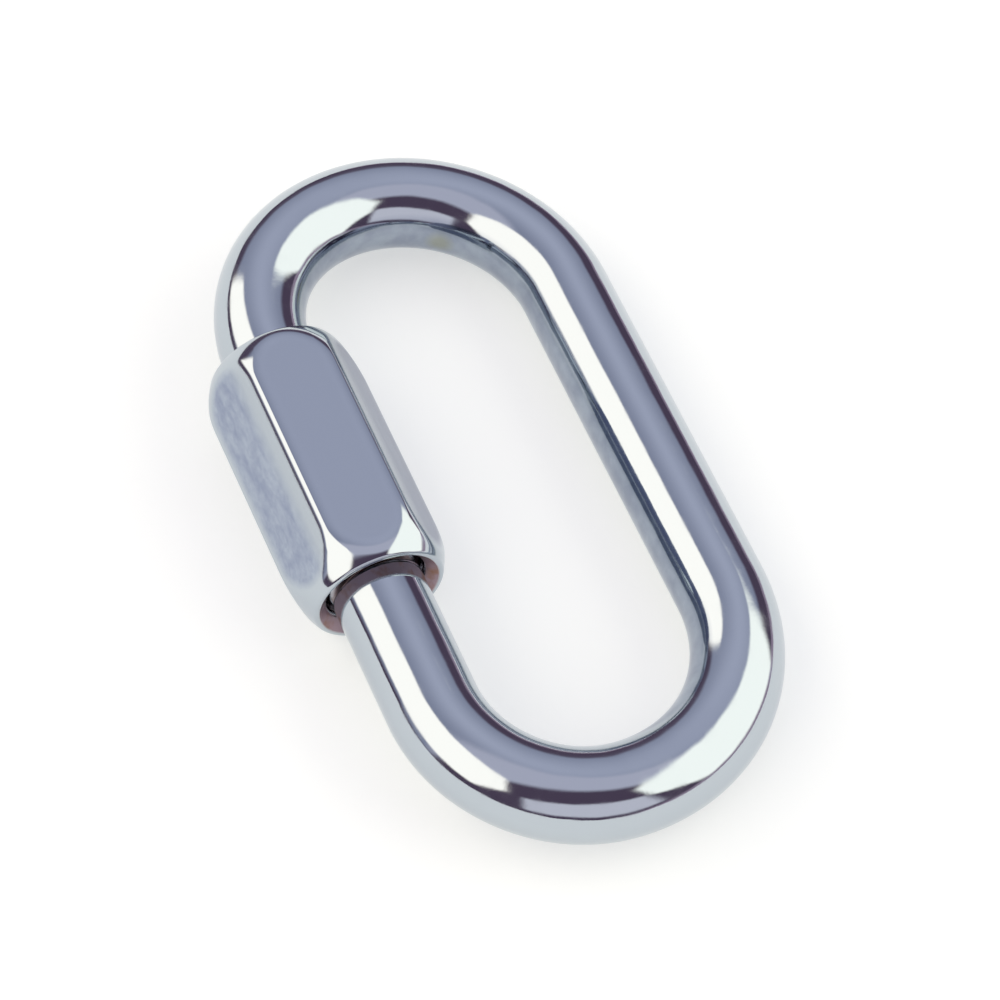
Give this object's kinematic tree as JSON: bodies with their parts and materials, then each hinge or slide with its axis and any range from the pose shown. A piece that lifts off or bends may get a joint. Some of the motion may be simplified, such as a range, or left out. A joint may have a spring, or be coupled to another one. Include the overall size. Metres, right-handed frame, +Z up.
{
  "type": "chain quick link",
  "caption": "Oval connecting link of bent round bar, closed by a long hexagonal nut that is screwed over the gap in one leg.",
  "frame": {"origin": "under the middle of the outline, on the surface that the link lies on", "axes": "+Y along the link towards the nut's closed end, +Z up, +X towards the leg without the nut. The link lies on one flat of the nut and on the far leg, which leans the oval 4.6 degrees about Y"},
  "size_m": [0.039, 0.0706, 0.0125],
  "materials": {
    "bar": "polished stainless steel",
    "nut": "polished stainless steel"
  },
  "bodies": {
    "link": {"link_body": "bar"},
    "nut": {"hex_nut": "nut"}
  },
  "joints": [
    {"name": "nut_travel", "type": "slide", "parent": "link", "child": "nut", "axis": [0, -1, 0], "range_m": [0, 0.01063]}
  ]
}
